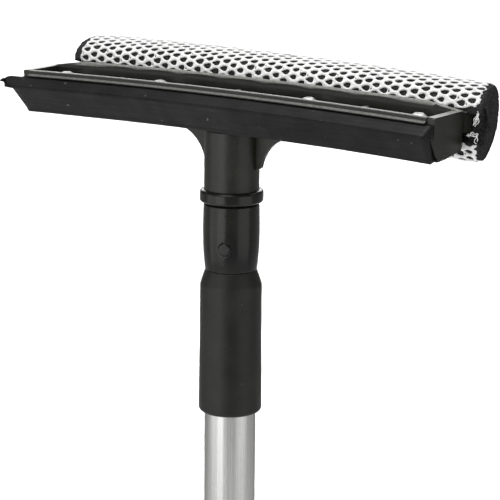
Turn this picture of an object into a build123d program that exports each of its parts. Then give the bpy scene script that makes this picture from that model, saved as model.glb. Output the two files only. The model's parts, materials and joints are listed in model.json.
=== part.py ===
from build123d import *
import math
import os

# Telescopic window cleaning pole with a squeegee and sponge head.
# Millimetres, +Z up the pole. The origin is on the pole axis, at the bottom face of the end cap.
# -Y is the rubber side of the head, +Y is the sponge side, and X runs along the head.

# ---- driving dimensions: heights along the pole ----
end_cap_h = 24.0             # outer body of the end cap
grip_z0 = 24.4
grip_z1 = 150.0
lower_tube_top = 440.0
collet_z0 = 422.0
collet_z1 = 466.0
collar_z0 = 430.0
collar_z1 = 472.0
ferrule_z0 = 542.0
ferrule_h = 62.0
head_z = 666.4               # underside of the head frame at mid length

# ---- driving dimensions: lock, grip and cap ----
collet_d = 28.0
collet_flange_d = 31.0
collet_top_d = 25.4
cone_z0 = 452.0
collar_d = 33.4
collar_top_d = 28.6
collar_ribs = 24
collar_groove_r = 1.25       # grooves between the ribs
collar_groove_out = 0.45
collet_slot = 1.6            # slots between the collet's four fingers
collet_rivet_up = 3.8
grip_d = 31.0
grip_rings = 7
grip_ring_r = 2.2            # each finger ring is a groove of this radius
grip_ring_out = 1.3          # with its middle this far outside the sleeve
grip_end = 14.0              # from each end of the grip to its first ring
cap_d = 28.0
cap_flat = 9.0               # the flats stand this far from the axis
cap_flat_h = 17.0
cap_rivet_z = 34.0
small_rivet_r = 1.5          # rivets of the collet, the guide plug and the end cap
plug_rivet_up = 9.0          # height of the guide plug's rivet above the inner tube's foot
rivet_foot = 6.4             # inner end of the blind rivets, from the pole axis
hang_d = 8.0
hang_z = 9.5
cap_spigot_h = 20.0

# ---- driving dimensions: ferrule and guide ----
ferrule_d = 26.9
ferrule_mid_d = 26.2
ferrule_neck = 6.2           # height of the shoulder at its top
ferrule_step = 14.0          # the inner tube stops this far below its top
rivet_head_d = 5.8
rivet_head_t = 1.0
rivet_d = 3.4
rivet_z = 556.0
guide_d = 22.84              # slides in the outer tube
guide_groove_d = 19.4
guide_plug_h = 7.0           # part of the plug below the inner tube
guide_plug_in = 16.0         # part of it inside the inner tube
guide_plug_hole_d = 12.0
guide_ring_h = 3.0
guide_split = 2.0            # the ring's split

# ---- driving dimensions: tubes ----
tube_wall = 1.0
lower_od = 25.0
upper_od = 22.0
lower_id = lower_od - 2 * tube_wall
upper_id = upper_od - 2 * tube_wall
upper_foot_z = 56.0          # bottom end of the inner tube when it is pushed in
fit = 0.05                   # radial clearance of fixed fits
run = 0.08                   # radial clearance of running fits
gap = 0.3                    # clearance between faces that move past each other

# ---- driving dimensions: head ----
head_len = 205.0             # length of the frame
crown = 1.7                  # the middle of the head stands this much above its ends
crown_r = head_len**2 / (8 * crown)
crown_z = head_z - crown_r   # height of the far axis that the head is bent about
frame_front = -7.0
frame_rear = 10.0
frame_h = 18.0
floor_t = 3.0
rail_t = 3.4                 # rear rail
rail_round = 2.9             # radius of its front top edge
rail_slope_len = 15.0        # both ends of the rail slope down over this length
rail_slope_drop = 2.0
ledge_rear = 3.4
strip_rear = 3.2             # rear edge of the rubber's spine and of the clamp strip
ledge_y = -12.4              # front edge of the ledge that carries the rubber
ledge_h0 = 7.2
ledge_h1 = 9.4
spine_t = 1.7                # rubber between the ledge and the clamp strip
strip_t = 1.2
rib_h = 12.95                # top of the ribs across the trough and the clamp strip
rib_t = 2.0
strip_rib_y = -2.4           # front end of the clamp strip's ribs
lip_h = 15.9                 # top of the clamp strip's front lip
bead_y = -14.3               # bead of the lip, over the top of the rubber
bead_h = 13.8
end_wall_t = 3.2
end_wall_h = 16.0            # top of the end walls
cheek_y0 = -10.0             # the walls reach forward here, behind the rubber's skirt
cheek_y1 = -13.9
cheek_foot_y = -8.3          # the right wall's foot, behind the rubber's lip
cheek_foot_h = -1.9
screw_x = (-88.5, -37.5, 37.5, 88.5)
screw_y = 0.0
rib_x = (-63.0, -1.0, 61.0)
rubber_out = 11.0            # the rubber sticks out this far past the left end of the frame
screw_head_d = 7.0
screw_rim_t = 0.5
screw_dome_h = 2.0
screw_dome_taper = 36.0
screw_r = 1.5
screw_hole_r = 1.8
nut_r = 3.15                 # corner radius of the hexagon
nut_h0 = 2.2
nut_t = 2.4
nut_pocket_h = 5.0
backer_h0 = 7.2
backer_h1 = 15.4
backer_rear = 15.6
sponge_x0 = -93.5
sponge_x1 = 110.0
slot_top = ledge_h1 + spine_t + 0.3   # the rubber slides in under the end walls
sponge_front = 11.4
sponge_rear = 38.0
sponge_rear_h = 16.0         # height of its rearmost line
sponge_back = (37.2, 7.0)    # its back turns under here
sponge_under = (31.2, 1.2)
sponge_foot_y = 19.5         # and runs out into its flat underside here
end_slant = 0.28             # its right end is cut on the slant, shorter towards the back
neck_room = 1.7              # the sponge's lower front stands back from the neck
net_in = 0.25                # gap between foam and net
net_t = 0.9
backer_screw_x = (-75.0, 12.0, 75.0)
backer_screw_h = 8.9
backer_screw_d = 2.5
backer_screw_len = 7.4
backer_head_d = 4.4
backer_head_h = 1.2
sponge_h0 = -3.0
sponge_h1 = 26.3
sponge_tilt = 0.9            # degrees: its left end sits a little higher
nose_len = 16.0              # the sponge's front top is a quarter ellipse, this deep
nose_rise = 7.6              # and this high
foot_in = 5.0                # its lower front corner is cut back
foot_rise = 2.6
neck_room_h = 1.6            # the set-back beside the neck ends at this height
notch_gap = 1.6              # hollow behind the backing strip
notch_side = 3.0             # and above and below it
net_x0 = 2.4                 # the net stops short of the foam's ends
net_x1 = 1.0

# ---- driving dimensions: neck and adaptor, heights from head_z ----
neck_d = 23.2
gusset_t = 1.8
gusset_front = 0.5           # front face of the web
gusset_w = 30.8
gusset_x = 14.3
gusset_h = 17.4
gusset_foot = 18.6           # its foot is rounded off between these two heights
gusset_foot_x = 12.6
gusset_tip = 3.7             # height of the gusset's outer end
gusset_r = 16.7              # radius of its concave edge
socket_top = 6.0             # solid top above the blind threaded socket
neck_bore_d = 17.2
neck_h = 33.0
collar_ring_d = 26.8
collar_top_round = 1.5
collar_foot_round = 0.9
collar_ring_h0 = -33.0
collar_ring_h1 = -27.8
washer_t = 0.7
washer_d = 22.2
adaptor_d = 24.0
adaptor_bottom_d = 22.0
button_h = -51.6
plug_over_button = 9.0       # the plug rises this far above the button's middle
button_angle = 21.5          # turned from -Y towards +X
button_d = 5.6
button_step = 6.4            # step in the bore that holds the button's flange
button_out = 12.4            # the button's crown, from the pole axis
button_flange_d = 7.6
button_flange_t = 1.2
button_travel_gap = 0.05
spring_r = 2.4
spring_wire_r = 0.3
spring_turns = 5
spring_foot = -9.3           # far end of the spring's bore, from the pole axis
spigot_d = 17.04
spigot_bore = 19.8
thread_turns = 4
thread_pitch = 4.5
thread_depth = 1.2

os.makedirs("parts", exist_ok=True)


def save(part, name):
    part.label = name
    export_step(part, f"parts/{name}.step")


def arc_angle(x):
    """Turn about the far axis, in degrees, that brings the middle of the head to x."""
    return math.degrees(math.asin(x / crown_r))


def head_plane(x):
    """Cross-section plane of the head at x: local x is Y and local y is height above the underside."""
    a = math.radians(arc_angle(x))
    up = (math.sin(a), 0, math.cos(a))
    along = (math.cos(a), 0, -math.sin(a))
    foot = (crown_r * up[0], 0, crown_z + crown_r * up[2])
    return Plane(origin=foot, x_dir=(0, 1, 0), z_dir=along)


def head_top_plane(x, y, h):
    """Plane square to the head's crown at x, at height h above the underside and at depth y."""
    a = math.radians(arc_angle(x))
    up = (math.sin(a), 0, math.cos(a))
    foot = ((crown_r + h) * up[0], y, crown_z + (crown_r + h) * up[2])
    return Plane(origin=foot, x_dir=(0, 1, 0), z_dir=up)


button_dir = (math.sin(math.radians(button_angle)), -math.cos(math.radians(button_angle)), 0)
button_plane = Plane(origin=(0, 0, head_z + button_h), z_dir=button_dir)
rivet_plane = Plane(origin=(0, 0, rivet_z), z_dir=(0, 1, 0))
crown_axis = Axis((0, 0, crown_z), (0, 1, 0))


def backer_screw_plane(x):
    """Face of the rear rail inside the trough at x, looking towards the rubber side."""
    foot = head_plane(x)
    level = foot.origin + foot.y_dir * backer_screw_h + Vector(0, frame_rear - rail_t, 0)
    return Plane(origin=level, x_dir=foot.z_dir, z_dir=(0, -1, 0))


def sweep_angle(x0, x1):
    return arc_angle(x1) - arc_angle(x0)


def collet_rivet_plane(side):
    """Plane through the pole axis, facing the collet rivet on that side."""
    a = math.radians(side)
    return Plane(origin=(0, 0, collet_z0 + collet_rivet_up), z_dir=(math.cos(a), math.sin(a), 0))


def ring(z0, z1, outer, inner):
    """Plain sleeve about the pole axis."""
    with BuildPart() as sleeve:
        with BuildSketch(Plane.XY.offset(z0)):
            Circle(outer / 2)
            Circle(inner / 2, mode=Mode.SUBTRACT)
        extrude(amount=z1 - z0)
    return sleeve.part


def rims(builder, z, radius):
    """Round edges of that radius about the pole axis at height z."""
    circles = builder.edges().filter_by(GeomType.CIRCLE)
    level = circles.filter_by(lambda edge: abs(edge.arc_center.Z - z) < 0.01)
    return level.filter_by(lambda edge: abs(edge.radius - radius) < 0.01)


half = head_len / 2

# ---- head frame: rail with a trough, end walls, ribs, gussets and neck ----
with BuildPart() as head_frame:
    with BuildSketch(head_plane(-half)):
        with BuildLine():
            rail_top = frame_rear - rail_t + rail_round
            Polyline(
                (rail_top, frame_h),
                (frame_rear, frame_h),
                (frame_rear, 0),
                (frame_front, 0),
                (frame_front, ledge_h0 - 1.4),
                (ledge_y, ledge_h0),
                (ledge_y, ledge_h1),
                (ledge_rear, ledge_h1),
                (ledge_rear, floor_t),
                (frame_rear - rail_t, floor_t),
                (frame_rear - rail_t, frame_h - rail_round),
            )
            RadiusArc((frame_rear - rail_t, frame_h - rail_round), (rail_top, frame_h), rail_round)
        make_face()
    revolve(axis=crown_axis, revolution_arc=sweep_angle(-half, half))
    # left end wall: open in front, where the rubber slides in
    with BuildSketch(head_plane(-half)):
        with BuildLine():
            Polyline(
                (ledge_rear - 1, floor_t - 1),
                (frame_rear - 1, floor_t - 1),
                (frame_rear - 1, end_wall_h),
                (ledge_y + 0.4, lip_h),
                (ledge_y, lip_h - 0.6),
                (ledge_y, slot_top),
                (ledge_rear, slot_top),
                (ledge_rear, ledge_h1 - 1),
                (ledge_rear - 1, ledge_h1 - 1),
                close=True,
            )
        make_face()
        with BuildLine():
            Polyline(
                (frame_front + 1, 0),
                (cheek_y0, 0.3),
                (cheek_y1, ledge_h0 - 1.0),
                (ledge_y, ledge_h0 + 0.2),
                (frame_front + 1, ledge_h0 + 0.2),
                close=True,
            )
        make_face()
    revolve(axis=crown_axis, revolution_arc=sweep_angle(-half, -half + end_wall_t))
    # right end wall: a closed plate that reaches down behind the rubber
    with BuildSketch(head_plane(half - end_wall_t)):
        with BuildLine():
            Polyline(
                (frame_rear - 1, 0.5),
                (frame_rear - 1, end_wall_h),
                (ledge_y + 0.4, lip_h),
                (ledge_y, lip_h - 0.6),
                (ledge_y, ledge_h0 + 0.4),
                (cheek_y1, ledge_h0 - 1.0),
                (cheek_y0, 0.3),
                (cheek_foot_y, -0.4),
                (cheek_foot_y, cheek_foot_h),
                (-2.0, -1.6),
                (3.0, -0.8),
                (frame_rear - 1, -0.2),
                close=True,
            )
        make_face()
    revolve(axis=crown_axis, revolution_arc=sweep_angle(half - end_wall_t, half))
    for x in rib_x:
        with BuildSketch(head_plane(x - rib_t / 2)):
            with BuildLine():
                Polyline(
                    (ledge_rear - 1, floor_t - 1),
                    (frame_rear - 1, floor_t - 1),
                    (frame_rear - 1, rib_h),
                    (ledge_rear + 0.1, rib_h),
                    (ledge_rear + 0.1, ledge_h1 - 0.6),
                    (ledge_rear - 1, ledge_h1 - 0.6),
                    close=True,
                )
            make_face()
        revolve(axis=crown_axis, revolution_arc=sweep_angle(x - rib_t / 2, x + rib_t / 2))
    # both ends of the rail slope down to the end walls
    slope_x = half - rail_slope_len
    slope_z = head_z + frame_h - slope_x**2 / (2 * crown_r)
    end_z = head_z + frame_h - rail_slope_drop - crown
    with BuildSketch(Plane.XZ.offset(-frame_rear - 1)):
        for side in (-1, 1):
            with BuildLine():
                Polyline(
                    (side * slope_x, slope_z),
                    (side * half, end_z),
                    (side * (half + 1), end_z - 0.2),
                    (side * (half + 1), slope_z + 1),
                    (side * slope_x, slope_z + 1),
                    close=True,
                )
            make_face()
    extrude(amount=2 * frame_rear, mode=Mode.SUBTRACT)
    # neck
    with BuildSketch(Plane.XY.offset(head_z - neck_h)):
        Circle(neck_d / 2)
    extrude(amount=neck_h + 2.0)
    # relief in front of the neck, behind the rubber's lip
    with BuildSketch(Plane.XY.offset(head_z - 2.9)):
        with Locations((0, -18.0)):
            Rectangle(40.0, 20.0)
    extrude(amount=6.0, mode=Mode.SUBTRACT)
    # gussets: a thin web with concave lower edges and rounded feet
    with BuildSketch(Plane.XZ.offset(-gusset_front - gusset_t)):
        with BuildLine():
            Line((-gusset_w, head_z + 1), (gusset_w, head_z + 1))
            Line((gusset_w, head_z + 1), (gusset_w, head_z - gusset_tip))
            RadiusArc((gusset_w, head_z - gusset_tip), (gusset_x, head_z - gusset_h), -gusset_r)
            Line((gusset_x, head_z - gusset_h), (gusset_foot_x, head_z - gusset_foot))
            Line((gusset_foot_x, head_z - gusset_foot), (-gusset_foot_x, head_z - gusset_foot))
            Line((-gusset_foot_x, head_z - gusset_foot), (-gusset_x, head_z - gusset_h))
            RadiusArc((-gusset_x, head_z - gusset_h), (-gusset_w, head_z - gusset_tip), -gusset_r)
            Line((-gusset_w, head_z - gusset_tip), (-gusset_w, head_z + 1))
        make_face()
    extrude(amount=gusset_t)
    # threaded socket, blind
    with BuildSketch(Plane.XY.offset(head_z - neck_h)):
        Circle(neck_bore_d / 2)
    extrude(amount=neck_h - socket_top, mode=Mode.SUBTRACT)
    # screw holes through the ledge and nut pockets from below
    for x in screw_x:
        with BuildSketch(head_top_plane(x, screw_y, -1.0)):
            RegularPolygon(radius=nut_r + 0.25, side_count=6)
        extrude(amount=nut_pocket_h + 1, mode=Mode.SUBTRACT)
        with BuildSketch(head_top_plane(x, screw_y, 4.0)):
            Circle(screw_hole_r)
        extrude(amount=9.0, mode=Mode.SUBTRACT)
    # screw holes through the rear rail
    for x in backer_screw_x:
        with BuildSketch(backer_screw_plane(x)):
            Circle(backer_screw_d / 2 + fit)
        extrude(amount=-rail_t - 1, mode=Mode.SUBTRACT)
save(head_frame.part, "head_frame")

# ---- rubber strip: flat spine, nose, skirt and thick lip; its left end sticks out ----
spine_h1 = ledge_h1 + spine_t
with BuildPart() as blade_rubber:
    with BuildSketch(head_plane(-half - rubber_out)):
        with BuildLine():
            Polyline(
                (strip_rear, ledge_h1),
                (strip_rear, spine_h1),
                (-12.9, spine_h1),
                (-12.9, spine_h1 + 1.7),
                (-13.3, spine_h1 + 2.0),
                (-14.0, spine_h1 + 1.7),
                (-18.6, 9.7),
                (-18.9, 9.1),
                (-18.7, 8.4),
                (-13.0, -0.6),
                (-12.6, -1.9),
                (-11.9, -2.3),
                (-8.6, -1.5),
                (-8.6, -0.7),
                (-10.3, 0.0),
                (-14.6, 6.0),
                (-14.4, 6.8),
                (-12.7, ledge_h0 + 0.6),
                (-12.7, ledge_h1),
                close=True,
            )
        make_face()
    revolve(axis=crown_axis, revolution_arc=sweep_angle(-half - rubber_out, half))
    # ends cut on the slant, so that the lip is shorter than the spine
    with BuildSketch(Plane.XZ.offset(-10)):
        with BuildLine():
            Polyline(
                (-half - rubber_out - 2, head_z + 30),
                (-half - rubber_out, head_z + 9.6),
                (-half - rubber_out / 2, head_z + 6.6),
                (-half - 1.2, head_z + 5.8),
                (-half + 1.9, head_z - 7),
                (-half - rubber_out - 2, head_z - 7),
                close=True,
            )
            Polyline(
                (half + 2, head_z + 9.0),
                (half - 0.1, head_z + 7.0),
                (half - 1.9, head_z - 7),
                (half + 2, head_z - 7),
                close=True,
            )
        make_face()
    extrude(amount=40, mode=Mode.SUBTRACT)
    # the spine stops at the right end wall
    with BuildSketch(Plane.XZ.offset(-ledge_rear - 1)):
        with Locations((half, head_z + 11.0)):
            Rectangle(2 * (end_wall_t + 0.1), 8.0)
    extrude(amount=ledge_rear + 1 - ledge_y + 0.1, mode=Mode.SUBTRACT)
    for x in screw_x:
        with BuildSketch(head_top_plane(x, screw_y, ledge_h1 - 2)):
            Circle(screw_hole_r)
        extrude(amount=8.0, mode=Mode.SUBTRACT)

save(blade_rubber.part, "blade_rubber")

# ---- clamp strip over the spine: front lip with a bead over the rubber, ribs and screw holes ----
strip_half = half - end_wall_t - 0.2
strip_h0 = spine_h1
strip_h1 = strip_h0 + strip_t
with BuildPart() as clamp_strip:
    with BuildSketch(head_plane(-strip_half)):
        with BuildLine():
            Polyline(
                (strip_rear, strip_h0),
                (-12.8, strip_h0),
                (-12.8, bead_h - 0.6),
                (bead_y + 0.3, bead_h - 0.6),
                (bead_y, bead_h - 0.3),
                (bead_y + 0.2, bead_h),
                (-13.1, bead_h + 0.5),
                (-12.8, bead_h + 0.9),
                (-12.8, lip_h - 0.4),
                (-12.3, lip_h),
                (-10.6, lip_h),
                (-10.1, lip_h - 0.4),
                (-9.6, strip_h1),
                (strip_rear, strip_h1),
                close=True,
            )
        make_face()
    revolve(axis=crown_axis, revolution_arc=sweep_angle(-strip_half, strip_half))
    for x in rib_x:
        with BuildSketch(head_plane(x - rib_t / 2)):
            with BuildLine():
                Polyline(
                    (strip_rear, strip_h0),
                    (strip_rear, rib_h),
                    (strip_rib_y, rib_h),
                    (strip_rib_y, strip_h0),
                    close=True,
                )
            make_face()
        revolve(axis=crown_axis, revolution_arc=sweep_angle(x - rib_t / 2, x + rib_t / 2))
    for x in screw_x:
        with BuildSketch(head_top_plane(x, screw_y, strip_h0 - 1)):
            Circle(screw_hole_r)
        extrude(amount=6.0, mode=Mode.SUBTRACT)

save(clamp_strip.part, "clamp_strip")

# ---- domed clamp screws and the nuts in their pockets ----
screw_seat = strip_h1
with BuildPart() as clamp_screws:
    for x in screw_x:
        with BuildSketch(head_top_plane(x, screw_y, 1.4)):
            Circle(screw_r)
        extrude(amount=screw_seat - 1.2)
        with BuildSketch(head_top_plane(x, screw_y, screw_seat)):
            Circle(screw_head_d / 2)
        extrude(amount=screw_rim_t)
        with BuildSketch(head_top_plane(x, screw_y, screw_seat + screw_rim_t)):
            Circle(screw_head_d / 2)
        extrude(amount=screw_dome_h, taper=screw_dome_taper)
save(clamp_screws.part, "clamp_screws")

with BuildPart() as clamp_nuts:
    for x in screw_x:
        with BuildSketch(head_top_plane(x, screw_y, nut_h0)):
            RegularPolygon(radius=nut_r, side_count=6)
            Circle(screw_r + fit, mode=Mode.SUBTRACT)
        extrude(amount=nut_t)
save(clamp_nuts.part, "clamp_nuts")

# ---- backing strip of the sponge, screwed to the rear rail from the trough side ----
with BuildPart() as sponge_backer:
    with BuildSketch(head_plane(-half + 1.0)):
        with BuildLine():
            Polyline(
                (frame_rear + fit, backer_h0),
                (frame_rear + fit, backer_h1),
                (backer_rear - 1.0, backer_h1),
                (backer_rear, backer_h1 - 1.0),
                (backer_rear, backer_h0),
                close=True,
            )
        make_face()
    revolve(axis=crown_axis, revolution_arc=sweep_angle(-half + 1.0, half + 1.0))
    for x in backer_screw_x:
        with BuildSketch(backer_screw_plane(x)):
            Circle(backer_screw_d / 2 + fit)
        extrude(amount=-backer_screw_len - 0.2, mode=Mode.SUBTRACT)
save(sponge_backer.part, "sponge_backer")


def sponge_section(grow):
    """Closed outline of the sponge, with its front hollowed around the backing strip."""
    front = sponge_front - grow
    rear = sponge_rear + grow
    low = sponge_h0 - grow
    high = sponge_h1 + grow
    notch = backer_rear + notch_gap - grow
    notch_low = backer_h0 - notch_side + grow
    notch_high = backer_h1 + notch_side - grow
    crest = sponge_front + nose_len
    back = (sponge_back[0] + grow, sponge_back[1])
    under = (sponge_under[0] + 0.6 * grow, sponge_under[1] - 0.9 * grow)
    foot = sponge_front + foot_in
    with BuildSketch(Plane.XY) as section:
        with BuildLine():
            Polyline(
                (foot, low),
                (front + neck_room, low + foot_rise),
                (front + neck_room, neck_room_h),
                (front, neck_room_h + neck_room),
                (front, notch_low),
                (notch, notch_low),
                (notch, notch_high),
                (front, notch_high),
                (front, sponge_h1 - nose_rise),
            )
            EllipticalCenterArc(
                (crest, sponge_h1 - nose_rise),
                nose_len + grow,
                nose_rise + grow,
                start_angle=90,
                arc_size=90,
            )
            ThreePointArc((crest, high), (rear, sponge_rear_h), back)
            ThreePointArc(back, under, (sponge_foot_y, low))
            Line((sponge_foot_y, low), (foot, low))
        make_face()
    return section.sketch


def slant_cut(x_end):
    """What is cut off the sponge's right end, which is on the slant from x_end at its front."""
    reach = sponge_rear + 3.0
    back_x = x_end - end_slant * (reach - sponge_front)
    with BuildSketch(Plane.XY.offset(head_z - 20)) as cut:
        with BuildLine():
            Polyline(
                (x_end, sponge_front - 2.0),
                (x_end, sponge_front),
                (back_x, reach),
                (x_end + 5.0, reach),
                (x_end + 5.0, sponge_front - 2.0),
                close=True,
            )
        make_face()
    return cut.sketch


tilt_axis = Axis((0, 0, head_z + (sponge_h0 + sponge_h1) / 2), (0, 1, 0))

# ---- sponge: soft block with a rounded back ----
with BuildPart() as sponge_core:
    with BuildSketch(head_plane(sponge_x0)):
        add(sponge_section(0))
    revolve(axis=crown_axis, revolution_arc=sweep_angle(sponge_x0, sponge_x1))
    extrude(slant_cut(sponge_x1), amount=60, mode=Mode.SUBTRACT)
save(sponge_core.part.rotate(tilt_axis, sponge_tilt), "sponge_core")

# ---- net cover: a thin skin around the sponge, open at both ends ----
with BuildPart() as net_cover:
    with BuildSketch(head_plane(sponge_x0 + net_x0)):
        add(sponge_section(net_in + net_t))
        add(sponge_section(net_in), mode=Mode.SUBTRACT)
    revolve(axis=crown_axis, revolution_arc=sweep_angle(sponge_x0 + net_x0, sponge_x1 - net_x1))
    extrude(slant_cut(sponge_x1 - net_x1), amount=60, mode=Mode.SUBTRACT)
save(net_cover.part.rotate(tilt_axis, sponge_tilt), "net_cover")

# ---- screws of the backing strip, driven from the trough through the rear rail ----
with BuildPart() as backer_screws:
    for x in backer_screw_x:
        with BuildSketch(backer_screw_plane(x)):
            Circle(backer_head_d / 2)
        extrude(amount=backer_head_h, taper=12)
        with BuildSketch(backer_screw_plane(x)):
            Circle(backer_screw_d / 2)
        extrude(amount=-backer_screw_len)
save(backer_screws.part, "backer_screws")

# ---- collar on the mouth of the neck ----
ring_z0 = head_z + collar_ring_h0
ring_z1 = head_z + collar_ring_h1
with BuildPart() as neck_collar:
    with BuildSketch(Plane.XY.offset(ring_z0)):
        Circle(collar_ring_d / 2)
    extrude(amount=ring_z1 - ring_z0)
    fillet(rims(neck_collar, ring_z1, collar_ring_d / 2), radius=collar_top_round)
    fillet(rims(neck_collar, ring_z0, collar_ring_d / 2), radius=collar_foot_round)
    with BuildSketch(Plane.XY.offset(ring_z0)):
        Circle(neck_d / 2 + 0.02)
    extrude(amount=ring_z1 - ring_z0, mode=Mode.SUBTRACT)
save(neck_collar.part, "neck_collar")

# ---- washer between the neck and the adaptor ----
washer_top = ring_z0 - 0.02
washer_bottom = washer_top - washer_t
save(ring(washer_bottom, washer_top, washer_d, neck_bore_d + 0.2), "neck_washer")

# ---- adaptor: threaded spigot above, hollow barrel below ----
adaptor_top = washer_bottom - 0.02
adaptor_z0 = ferrule_z0 + ferrule_h + 0.02
plug_top = head_z + button_h + plug_over_button
with BuildPart() as adaptor:
    with BuildSketch(Plane.XZ):
        with BuildLine():
            Polyline(
                (0, plug_top + 0.3),
                (spigot_bore / 2, plug_top + 0.3),
                (spigot_bore / 2, adaptor_z0),
                (adaptor_bottom_d / 2 - 0.4, adaptor_z0),
                (adaptor_bottom_d / 2, adaptor_z0 + 0.4),
            )
            Spline(
                (adaptor_bottom_d / 2, adaptor_z0 + 0.4),
                (adaptor_d / 2 - 0.25, adaptor_z0 + 8.0),
                (adaptor_d / 2, adaptor_z0 + 16.0),
                (adaptor_d / 2 - 0.25, adaptor_top - 0.5),
            )
            Polyline(
                (adaptor_d / 2 - 0.25, adaptor_top - 0.5),
                (adaptor_d / 2 - 0.75, adaptor_top),
                (spigot_d / 2 - thread_depth, adaptor_top),
            )
            for n in range(thread_turns):
                z = adaptor_top + 1.2 + n * thread_pitch
                Polyline(
                    (spigot_d / 2 - thread_depth, z - 1.2 if n == 0 else z),
                    (spigot_d / 2 - thread_depth, z + 0.6),
                    (spigot_d / 2, z + 1.5),
                    (spigot_d / 2, z + 2.5),
                    (spigot_d / 2 - thread_depth, z + 3.4),
                    (spigot_d / 2 - thread_depth, z + thread_pitch),
                )
            last = adaptor_top + 1.2 + thread_turns * thread_pitch
            Polyline(
                (spigot_d / 2 - thread_depth, last),
                (spigot_d / 2 - 1.8, last + 0.6),
                (0, last + 0.6),
                (0, plug_top + 0.3),
            )
        make_face()
    revolve(axis=Axis.Z)
    # through-hole of the lock button
    with BuildSketch(button_plane):
        Circle(button_d / 2 + 0.1)
    extrude(amount=20.0, mode=Mode.SUBTRACT)
save(adaptor.part, "adaptor")

# ---- plug in the top end of the inner tube, with the stepped bore of the lock button ----
tube_top = ferrule_z0 + ferrule_h - ferrule_step
plug_z0 = ferrule_z0 + 4.0
with BuildPart() as tip_plug:
    with BuildSketch(Plane.XY.offset(plug_z0)):
        Circle(upper_id / 2 - fit)
    extrude(amount=tube_top - plug_z0)
    with BuildSketch(Plane.XY.offset(tube_top)):
        Circle(spigot_bore / 2 - 0.05)
    extrude(amount=plug_top - tube_top)
    chamfer(rims(tip_plug, plug_top, spigot_bore / 2 - 0.05), length=1.0)
    with BuildSketch(button_plane):
        Circle(button_d / 2 + run)
    extrude(amount=20.0, mode=Mode.SUBTRACT)
    with BuildSketch(button_plane.offset(button_step)):
        Circle(button_flange_d / 2 + run)
    extrude(amount=-20.0, mode=Mode.SUBTRACT)
    # blind hole of the ferrule rivet
    with BuildSketch(rivet_plane.offset(6.0)):
        Circle(rivet_d / 2 + fit)
    extrude(amount=10.0, mode=Mode.SUBTRACT)
save(tip_plug.part, "tip_plug")

# ---- lock button with its flange, domed outside ----
with BuildPart() as snap_button:
    with BuildSketch(button_plane.offset(button_step - button_flange_t - button_travel_gap)):
        Circle(button_flange_d / 2)
    extrude(amount=button_flange_t)
    with BuildSketch(button_plane.offset(button_step - button_flange_t - button_travel_gap)):
        Circle(button_d / 2)
    extrude(amount=button_out - button_step + button_flange_t + button_travel_gap)
    fillet(snap_button.faces().sort_by(Axis(button_plane.origin, button_dir))[-1].edges(), radius=0.8)
save(snap_button.part, "snap_button")

# ---- coil spring behind the button ----
button_back = button_step - button_flange_t - button_travel_gap
spring_len = button_back - spring_foot - 3 * spring_wire_r
with BuildPart() as button_spring:
    with BuildLine() as coil:
        Helix(
            pitch=spring_len / spring_turns,
            height=spring_len,
            radius=spring_r,
            center=button_plane.offset(spring_foot + spring_wire_r).origin,
            direction=button_dir,
        )
    with BuildSketch(Plane(origin=coil.line @ 0, z_dir=coil.line % 0)):
        Circle(spring_wire_r)
    sweep()
save(button_spring.part, "button_spring")

# ---- ferrule over the top of the inner tube ----
with BuildPart() as ferrule:
    with BuildSketch(Plane.XZ):
        with BuildLine():
            Polyline(
                (upper_od / 2 + fit, ferrule_z0 + 0.6),
                (upper_od / 2 + 0.6, ferrule_z0),
                (ferrule_d / 2, ferrule_z0),
                (ferrule_d / 2 - 0.1, ferrule_z0 + 18.0),
                (ferrule_mid_d / 2, ferrule_z0 + 34.0),
                (ferrule_mid_d / 2, ferrule_z0 + ferrule_h - ferrule_neck),
                (adaptor_bottom_d / 2, ferrule_z0 + ferrule_h),
                (spigot_bore / 2 + fit, ferrule_z0 + ferrule_h),
                (spigot_bore / 2 + fit, tube_top + 0.1),
                (upper_od / 2 + fit, tube_top + 0.1),
                close=True,
            )
        make_face()
    revolve(axis=Axis.Z)
    fillet(rims(ferrule, ferrule_z0, ferrule_d / 2), radius=1.7)
    fillet(rims(ferrule, ferrule_z0 + ferrule_h - ferrule_neck, ferrule_mid_d / 2), radius=6.0)
    with BuildSketch(rivet_plane.offset(9.0)):
        Circle(rivet_d / 2 + fit)
    extrude(amount=10.0, mode=Mode.SUBTRACT)
save(ferrule.part, "ferrule")

with BuildPart() as ferrule_rivet:
    with BuildSketch(rivet_plane.offset(rivet_foot)):
        Circle(rivet_d / 2)
    extrude(amount=ferrule_d / 2 - rivet_foot)
    with BuildSketch(rivet_plane.offset(ferrule_d / 2 + 0.02)):
        Circle(rivet_head_d / 2)
    extrude(amount=rivet_head_t, taper=30)
    with BuildSketch(rivet_plane.offset(ferrule_d / 2 - 0.5)):
        Circle(rivet_d / 2)
    extrude(amount=1.0)
save(ferrule_rivet.part, "ferrule_rivet")

# ---- inner tube ----
with BuildPart() as upper_tube:
    add(ring(upper_foot_z, tube_top, upper_od, upper_id))
    with BuildSketch(rivet_plane.offset(9.0)):
        Circle(rivet_d / 2 + fit)
    extrude(amount=10.0, mode=Mode.SUBTRACT)
    with BuildSketch(Plane(origin=(0, 0, upper_foot_z + plug_rivet_up), z_dir=(0, 1, 0)).offset(8.0)):
        Circle(small_rivet_r + fit)
    extrude(amount=5.0, mode=Mode.SUBTRACT)
save(upper_tube.part, "upper_tube")

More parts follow.
